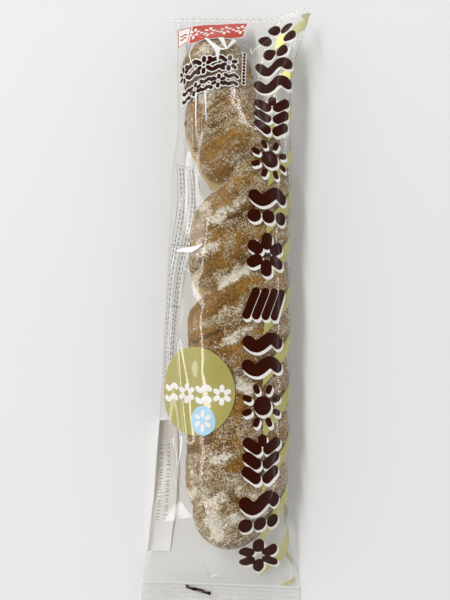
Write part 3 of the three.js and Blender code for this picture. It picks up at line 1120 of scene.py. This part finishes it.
disc = {"x": -13.2, "y": -47.1, "radius": 19.6,
        "row": (-1.3, 9.1, 4.5, 2.4),  # a row of motifs: height above the middle, pitch, size, stroke
        "roundel": (4.5, -12.8, 6.4),  # a pale blue field: x, y, radius
        "flower": (4.9, 2.1)}  # and on it: size, stroke


def buildDisc():
    x, y = disc["x"], disc["y"]
    layPrint("goldDisc", [discGrid(x, y, disc["radius"])], "gold", "under")
    rise, pitch, size, stroke = disc["row"]
    strokes = []
    for k, motif in enumerate([waveMotif, petalMotif, waveMotif, petalMotif]):
        strokes += motif(x + (k - 1.5) * pitch, y + rise, size, stroke)
    layStrokes("discPale", strokes, "pale", "pale")
    roundX, roundY, radius = disc["roundel"]
    layPrint("discBlue", [discGrid(x + roundX, y + roundY, radius)], "blue", "pale")
    layStrokes("discFlower", petalMotif(x + roundX, y + roundY, *disc["flower"]), "pale", "dark")


band = {"left": -26.2, "right": 1.6, "bottom": 124.2, "top": 140, "slant": 0.147, "rim": 0.6,
        "bow": 4,  # its lower edge bends down this far where the film is steep
        "marks": 7, "tall": 1.7, "flower": (3.3, 1.6), "dot": 1.7,  # the flower's size and stroke
        "square": (-34.4, -27.2, 125.4, 138), "border": 0.5,  # left, right, bottom, top
        "waves": (3.4, 0.7, 1.0), "wavesApart": 1.4}  # length, height, stroke


def bowed(flat):
    # moves places in the band down, in the middle of its lower edge most
    left, right, bottom, top = (band[k] for k in ("left", "right", "bottom", "top"))
    flat = np.array(flat, float)
    t = (2 * flat[..., 0] - left - right) / (right - left)
    low = (top + band["slant"] * (flat[..., 0] - left) - flat[..., 1]) / (top - bottom)
    flat[..., 1] -= band["bow"] * np.maximum(1 - t ** 2, 0) * np.clip(low, 0, 1)
    return flat


def buildBand():
    left, right, bottom, top = (band[k] for k in ("left", "right", "bottom", "top"))
    rim, slant = band["rim"], band["slant"]
    layPrint("redBand", [bowed(panelGrid(left, right, bottom, top, slant))], "red", "pale")
    rimGrid = bowed(panelGrid(left - rim, right + rim, bottom - rim, top + rim, slant))
    layPrint("bandRim", [rimGrid, panelGrid(*band["square"], slant)], "pale", "under")
    x0, x1, y0, y1 = band["square"]
    climb = slant * (x1 - x0)
    border = np.array([(x0, y0), (x1, y0 + climb), (x1, y1 + climb), (x0, y1), (x0, y0)])
    length, height, stroke = band["waves"]
    strokes = [(border, band["border"])]
    for apart in (band["wavesApart"], -band["wavesApart"]):
        strokes.append((wave((x0 + x1) / 2, (y0 + y1) / 2 + apart, length, height), stroke))
    layStrokes("squarePrint", strokes, "red", "pale")
    strokes = []
    for k in range(band["marks"]):  # small flowers and dots by turns
        x = left + (k + 0.5) / band["marks"] * (right - left)
        y = (bottom + top) / 2 + slant * (x - left)
        motif = spots(0, 0, [(0, 0)], band["dot"]) if k % 2 else petalMotif(0, 0, *band["flower"])
        strokes += [(bowed(path * (1, band["tall"]) + (x, y)), width) for path, width in motif]
    layStrokes("bandPrint", strokes, "pale", "dark")


tagline = {
    # two rows of small motifs: first x, y, last x, y, size, stroke
    "rows": [(-27.2, 105.2, -3, 108.8, 4.5, 2.1), (-25.2, 94, -1.2, 100, 3.8, 1.9)],
    "halo": 1.2,
    "dots": (4.2, 116.8, 5.3, 99.8), "count": 10, "dot": 1.6, "dotHalo": 1.0,
}


def buildTagline():
    sets = [[petalMotif, waveMotif, petalMotif, waveMotif, petalMotif],
            [waveMotif, petalMotif, waveMotif, petalMotif, waveMotif]]
    strokes = []
    for motifs, (x0, y0, x1, y1, size, stroke) in zip(sets, tagline["rows"]):
        for motif, t in zip(motifs, np.linspace(0, 1, len(motifs))):
            strokes += motif(mix(x0, x1, t), mix(y0, y1, t), size, stroke)
    layStrokes("taglineHalo", strokes, "pale", "pale", tagline["halo"])
    layStrokes("taglinePrint", strokes, "dark", "dark")
    x0, y0, x1, y1 = tagline["dots"]
    dots = []
    for t in np.linspace(0, 1, tagline["count"]):
        x, y = mix(x0, x1, t), mix(y0, y1, t)
        dots.append((line(x - 0.05, y, x + 0.05, y), tagline["dot"]))
    layStrokes("dotHalo", dots, "pale", "pale", tagline["dotHalo"])
    layStrokes("dotPrint", dots, "dark", "dark")


back = {
    # on the back of the film, seen through its front
    "panel": (100.5, 113.4, -128, -62),
    "stamp": (108.8, 105), "stampTop": -74, "stampBottom": -112, "stampWidth": (0.9, 1.8),
    "rules": (112.6, 107.2, 101.8), "ruleTop": 64, "ruleBottom": -45, "cross": (64, 22, -8, -45),
    "rows": (110.9, 109.3, 105.6, 104.1), "dash": (0.5, 1.7), "gap": 1.3, "thin": 0.3, "thick": 0.7,
    "margins": (1.5, 3),  # from the rows to the ends of the rules, at the top and at the bottom
    "stampSlant": 0.5, "stampGap": (1.1, 2.6),
}


def buildBack():
    layPrint("backPanel", [panelGrid(*back["panel"])], "milk", "backPanel")
    top, bottom = back["ruleTop"], back["ruleBottom"]
    strokes = [(line(x, bottom, x, top), back["thin"]) for x in back["rules"]]
    strokes += [(line(back["rules"][-1], y, back["rules"][0], y), back["thin"]) for y in back["cross"]]
    above, below = back["margins"]
    for x in back["rows"]:
        y = top - above
        while y > bottom + below:
            length = rng.uniform(*back["dash"])
            strokes.append((line(x, y - length, x, y), back["thick"]))
            y -= length + back["gap"]
    for x in back["stamp"]:  # short dashes that lie across their row
        y = back["stampTop"]
        while y > back["stampBottom"]:
            half = rng.uniform(*back["stampWidth"]) / 2
            slant = rng.uniform(-back["stampSlant"], back["stampSlant"])
            strokes.append((line(x - half, y, x + half, y + slant), back["thin"]))
            y -= rng.uniform(*back["stampGap"])
    layStrokes("backRules", strokes, "grey", "backRules")


mark = {"left": -16.4, "right": -4.4, "depth": 1.2, "slope": 0.24, "height": 1.6}


def buildMark():
    # a dark dash on the bottom seal
    steps = np.linspace(mark["left"], mark["right"], 16)
    across, rows = np.meshgrid(steps, np.linspace(0, 1, 3), indexing="ij")
    depth = mark["depth"] + mark["slope"] * (across - mark["left"]) + rows * mark["height"]
    points = sealAt(across, depth, False, seals["thickness"])
    makePiece("sealMark", points, gridFaces(*across.shape), inkMaterials["dark"])


buildStripes()
buildDisc()
buildBand()
buildTagline()
buildColumn()
buildBack()
buildMark()
# painted highlights: white strips that stand for the lamps' glints on the film's folds
layPrint("paintedGlints", [ribbonGrid(glint) for glint in glintPaths], "glint", "top")
print("print laid")

view = {"tilt": 7, "roll": 2.184, "distance": 339.86, "aim": (-2.916, -5.44, 10),
        "lens": 42, "sensor": 36, "near": 0.01, "far": 20}


def turned(first, firstAxis, second, secondAxis):
    # a turn by two angles in degrees
    return (Matrix.Rotation(math.radians(first), 4, firstAxis)
            @ Matrix.Rotation(math.radians(second), 4, secondAxis))


def buildCamera():
    data = bpy.data.cameras.new("camera")
    data.lens, data.sensor_width = view["lens"], view["sensor"]
    data.clip_start, data.clip_end = view["near"], view["far"]
    camera = bpy.data.objects.new("camera", data)
    bpy.context.scene.collection.objects.link(camera)
    turn = turned(view["tilt"], "X", view["roll"], "Z")
    back = turn @ Vector((0, 0, view["distance"] * mm))
    camera.matrix_world = Matrix.Translation(Vector(view["aim"]) * mm + back) @ turn
    bpy.context.scene.camera = camera


light = {
    "sky": 1.1, "skyShades": ((0.45, 1), (0.97, 0.09), (0.78, 0.25)),  # height and brightness
    # each: power, size, degrees to the left, degrees to the top, distance
    "key": (38.0, (0.2, 2.5), 25, 20, 2.5),
    "windows": {  # these show in reflections only
        "window": (3.4, (0.1, 0.9), 61, 0, 0.9),
        "lowWindow": (1.0, (0.07, 0.9), 80, 0, 0.9),
        "farWindow": (4.5, (1.7, 0.07), 0, 54, 0.9),
        "cornerWindow": (0.5, (0.06, 0.26), -16, 63, 0.9),
        "sideWindow": (2.0, (0.07, 0.9), -72, 0, 0.9),
        "highWindow": (0.8, (0.3, 0.14), 66, 54, 0.9),
    },
}


def buildLamp(name, power, size, left, top, distance, reflectOnly=False):
    data = bpy.data.lights.new(name, "AREA")
    data.shape, data.size, data.size_y, data.energy = "RECTANGLE", *size, power
    lamp = bpy.data.objects.new(name, data)
    lamp.visible_glossy, lamp.visible_diffuse = reflectOnly, not reflectOnly
    bpy.context.scene.collection.objects.link(lamp)
    lamp.matrix_world = turned(-top, "X", -left, "Y") @ Matrix.Translation((0, 0, distance))


def buildLight():
    world = bpy.data.worlds.new("softRoom")
    bpy.context.scene.world = world
    world.use_nodes = True
    tree = world.node_tree
    place = addNode(tree, "TexCoord").outputs["Generated"]
    height = addNode(tree, "SeparateXYZ", {0: place}).outputs["Z"]
    shade = addRamp(tree, height, *((at, 3 * (grey,)) for at, grey in light["skyShades"]))
    setInputs(tree, tree.nodes["Background"], {"Color": shade, "Strength": light["sky"]})
    buildLamp("keyLight", *light["key"])
    for name, lamp in light["windows"].items():
        buildLamp(name + "Light", *lamp, reflectOnly=True)
    bpy.context.scene.view_settings.view_transform = "Standard"


ground = {"side": 1500, "noise": 4.0, "grey": (0.8, 0.83)}


def buildFloor():
    material, tree, shader = newMaterial("paleFloor", {"Roughness": 0.7})
    shade = addRange(tree, addNoise(tree, ownPlace(tree), ground["noise"]), (0, 1), ground["grey"])
    setInputs(tree, shader, {"Base Color": shade})
    side = ground["side"]
    points = [(-side, -side, 0), (side, -side, 0), (side, side, 0), (-side, side, 0)]
    mesh = bpy.data.meshes.new("floor")
    mesh.from_pydata((np.array(points) * mm).tolist(), [], [(0, 1, 2, 3)])
    mesh.materials.append(material)
    floor = bpy.data.objects.new("floor", mesh)
    bpy.context.scene.collection.objects.link(floor)


buildCamera()
buildLight()
buildFloor()

print("scene ready")
